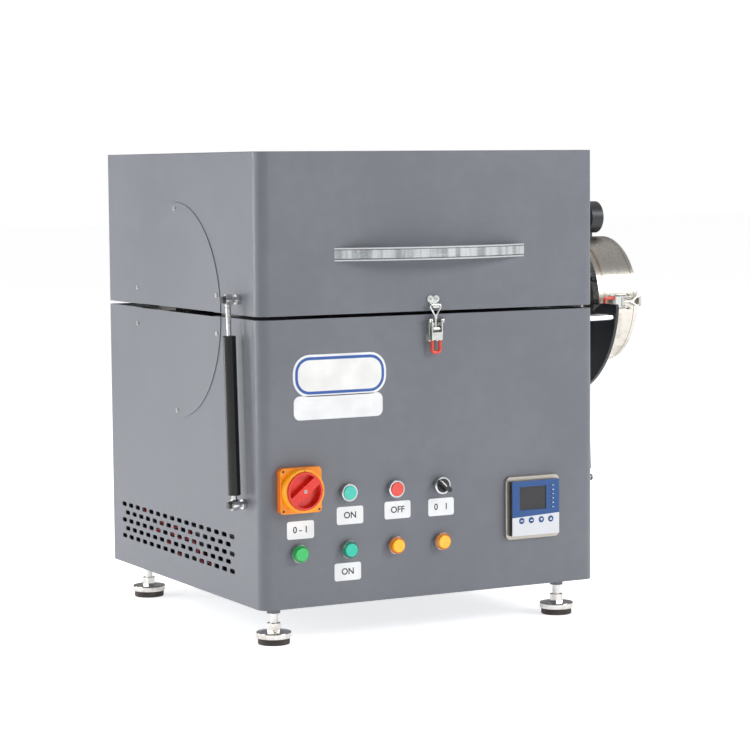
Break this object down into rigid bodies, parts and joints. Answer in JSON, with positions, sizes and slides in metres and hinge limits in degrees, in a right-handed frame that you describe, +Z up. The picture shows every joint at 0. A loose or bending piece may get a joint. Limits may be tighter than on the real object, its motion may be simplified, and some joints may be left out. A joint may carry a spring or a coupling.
{
  "type": "quartz tube furnace",
  "caption": "Bench-top clam-shell furnace with a hinged lid on gas struts, a quartz work tube and a latched vacuum door at the right.",
  "frame": {"origin": "middle of the floor area under the whole object, feet on the ground", "axes": "+X to the right along the tube towards the vacuum door, +Y from the control panel to the back, +Z up"},
  "size_m": [0.9242, 0.713, 0.822],
  "materials": {
    "casing_paint": "satin charcoal powder coat, fine orange peel",
    "cover_paint": "satin charcoal powder coat on thin sheet",
    "inner_steel": "plain galvanised sheet",
    "ceramic_fibre": "rough white vacuum-formed fibre board",
    "heating_ribbon": "dull oxidised alloy ribbon",
    "quartz": "clear fused quartz",
    "brushed_stainless": "brushed stainless with a faint turned grain",
    "black_paint": "satin black",
    "bright_chrome": "polished chrome plate",
    "zinc_steel": "bright zinc plated steel",
    "strut_black": "gloss black cylinder",
    "rod_chrome": "ground chrome rod",
    "seal_rubber": "black rubber",
    "foot_rubber": "dark brown rubber",
    "amber_plate": "amber moulded plate with a yellow collar",
    "knob_red": "red moulded knob",
    "button_green": "green cap",
    "button_red": "red cap",
    "knob_black": "black knob",
    "lamp_lens": "clear coloured lens, green and amber",
    "controller_black": "black housing",
    "controller_blue": "printed face, blue over white",
    "key_blue": "soft blue key",
    "block_plastic": "moulded contact block",
    "gauge_black": "black gauge case",
    "needle_black": "black needle",
    "gland_nylon": "black nylon",
    "gear_steel": "varnished core and moulded relays"
  },
  "bodies": {
    "base": {"base_shell": "casing_paint", "base_floor": "casing_paint", "base_rear_panel": "casing_paint", "cable_gland": "gland_nylon", "base_deck": "inner_steel", "insulation_tray": "inner_steel", "lower_insulation": "ceramic_fibre", "lower_heater": "heating_ribbon", "quartz_tube": "quartz", "side_covers_lower": "cover_paint", "clamp_ring": "brushed_stainless", "barrel": "brushed_stainless", "support_plate": "black_paint", "support_rods": "zinc_steel", "front_latch_base": "bright_chrome", "door_fittings": "brushed_stainless", "gauge_case": "gauge_black", "vacuum_port": "brushed_stainless", "hinge_base_leaves": "zinc_steel", "strut_lower_bolts": "zinc_steel", "switch_plate": "amber_plate", "contact_blocks": "block_plastic", "panel_bezels": "bright_chrome", "lamp_lenses": "lamp_lens", "controller_case": "controller_black", "controller_face": "controller_blue", "control_gear": "gear_steel"},
    "lid": {"lid_shell": "casing_paint", "lid_top": "casing_paint", "lid_rear_panel": "casing_paint", "lid_deck": "inner_steel", "upper_insulation": "ceramic_fibre", "upper_heater": "heating_ribbon", "side_covers_upper": "cover_paint", "hinge_lid_leaves": "zinc_steel", "handle": "bright_chrome", "front_latch_catch": "bright_chrome"},
    "strut_tube_left": {"strut_tube_left": "strut_black"},
    "strut_rod_left": {"strut_rod_left": "rod_chrome"},
    "strut_tube_right": {"strut_tube_right": "strut_black"},
    "strut_rod_right": {"strut_rod_right": "rod_chrome"},
    "front_latch_lever": {"front_latch_lever": "bright_chrome"},
    "front_latch_loop": {"front_latch_loop": "bright_chrome"},
    "door": {"door": "brushed_stainless", "door_seal": "seal_rubber"},
    "door_latch_lever": {"door_latch_lever": "bright_chrome"},
    "door_latch_loop": {"door_latch_loop": "bright_chrome"},
    "switch_knob": {"switch_knob": "knob_red"},
    "start_button": {"start_button": "button_green"},
    "stop_button": {"stop_button": "button_red"},
    "selector_knob": {"selector_knob": "knob_black"},
    "gauge_needle": {"gauge_needle": "needle_black"},
    "key_1": {"key_1": "key_blue"},
    "foot_1": {"foot_1": "foot_rubber"},
    "key_2": {"key_2": "key_blue"},
    "foot_2": {"foot_2": "foot_rubber"},
    "key_3": {"key_3": "key_blue"},
    "foot_3": {"foot_3": "foot_rubber"},
    "key_4": {"key_4": "key_blue"},
    "foot_4": {"foot_4": "foot_rubber"}
  },
  "joints": [
    {"name": "lid_hinge", "type": "hinge", "parent": "base", "child": "lid", "pos_m": [-0.1042, 0.3415, 0.549], "axis": [-1, 0, 0], "range_deg": [0, 20]},
    {"name": "strut_left_swing", "type": "hinge", "parent": "base", "child": "strut_tube_left", "pos_m": [-0.4492, -0.2545, 0.238], "axis": [-1, 0, 0], "range_deg": [0, 3.9]},
    {"name": "strut_left_slide", "type": "slide", "parent": "strut_tube_left", "child": "strut_rod_left", "axis": [0, 0.0441, 0.999], "range_m": [0, 0.2005]},
    {"name": "strut_right_swing", "type": "hinge", "parent": "base", "child": "strut_tube_right", "pos_m": [0.2408, -0.2545, 0.238], "axis": [-1, 0, 0], "range_deg": [0, 3.9]},
    {"name": "strut_right_slide", "type": "slide", "parent": "strut_tube_right", "child": "strut_rod_right", "axis": [0, 0.0441, 0.999], "range_m": [0, 0.2005]},
    {"name": "front_latch_lever", "type": "hinge", "parent": "base", "child": "front_latch_lever", "pos_m": [-0.1042, -0.3265, 0.536], "axis": [-1, 0, 0], "range_deg": [0, 100]},
    {"name": "front_latch_loop", "type": "hinge", "parent": "front_latch_lever", "child": "front_latch_loop", "pos_m": [-0.1042, -0.3255, 0.522], "axis": [1, 0, 0], "range_deg": [0, 100]},
    {"name": "door_latch_lever", "type": "hinge", "parent": "base", "child": "door_latch_lever", "pos_m": [0.4328, -0.1075, 0.541], "axis": [0, 0, 1], "range_deg": [0, 100]},
    {"name": "door_latch_loop", "type": "hinge", "parent": "door_latch_lever", "child": "door_latch_loop", "pos_m": [0.4188, -0.1065, 0.541], "axis": [0, 0, -1], "range_deg": [0, 100]},
    {"name": "door_hinge", "type": "hinge", "parent": "base", "child": "door", "pos_m": [0.4551, 0.1495, 0.541], "axis": [0, 0, 1], "range_deg": [0, 110]},
    {"name": "main_switch", "type": "hinge", "parent": "base", "child": "switch_knob", "pos_m": [-0.3627, -0.3265, 0.2645], "axis": [0, -1, 0], "range_deg": [0, 90]},
    {"name": "pump_selector", "type": "hinge", "parent": "base", "child": "selector_knob", "pos_m": [-0.0917, -0.3265, 0.254], "axis": [0, 1, 0], "range_deg": [0, 90]},
    {"name": "start_button_press", "type": "slide", "parent": "base", "child": "start_button", "axis": [0, 1, 0], "range_m": [0, 0.004], "stiffness_N_per_m": 600, "springref_m": -0.002},
    {"name": "stop_button_press", "type": "slide", "parent": "base", "child": "stop_button", "axis": [0, 1, 0], "range_m": [0, 0.004], "stiffness_N_per_m": 600, "springref_m": -0.002},
    {"name": "key_1_press", "type": "slide", "parent": "base", "child": "key_1", "axis": [0, 1, 0], "range_m": [0, 0.0006], "stiffness_N_per_m": 500, "springref_m": -0.001},
    {"name": "key_2_press", "type": "slide", "parent": "base", "child": "key_2", "axis": [0, 1, 0], "range_m": [0, 0.0006], "stiffness_N_per_m": 500, "springref_m": -0.001},
    {"name": "key_3_press", "type": "slide", "parent": "base", "child": "key_3", "axis": [0, 1, 0], "range_m": [0, 0.0006], "stiffness_N_per_m": 500, "springref_m": -0.001},
    {"name": "key_4_press", "type": "slide", "parent": "base", "child": "key_4", "axis": [0, 1, 0], "range_m": [0, 0.0006], "stiffness_N_per_m": 500, "springref_m": -0.001},
    {"name": "gauge_needle_turn", "type": "hinge", "parent": "base", "child": "gauge_needle", "pos_m": [0.4388, 0.0215, 0.697], "axis": [-1, 0, 0], "range_deg": [0, 270]},
    {"name": "foot_1_screw", "type": "slide", "parent": "base", "child": "foot_1", "axis": [0, 0, 1], "range_m": [-0.015, 0.012]},
    {"name": "foot_2_screw", "type": "slide", "parent": "base", "child": "foot_2", "axis": [0, 0, 1], "range_m": [-0.015, 0.012]},
    {"name": "foot_3_screw", "type": "slide", "parent": "base", "child": "foot_3", "axis": [0, 0, 1], "range_m": [-0.015, 0.012]},
    {"name": "foot_4_screw", "type": "slide", "parent": "base", "child": "foot_4", "axis": [0, 0, 1], "range_m": [-0.015, 0.012]}
  ],
  "couplings": [
    {"joint": "strut_left_swing", "follows": "lid_hinge", "ratio": 0.1925},
    {"joint": "strut_left_slide", "follows": "lid_hinge", "m_per_rad": 0.57291},
    {"joint": "strut_right_swing", "follows": "lid_hinge", "ratio": 0.1925},
    {"joint": "strut_right_slide", "follows": "lid_hinge", "m_per_rad": 0.57291},
    {"joint": "front_latch_loop", "follows": "front_latch_lever", "ratio": 1},
    {"joint": "door_latch_loop", "follows": "door_latch_lever", "ratio": 1}
  ]
}
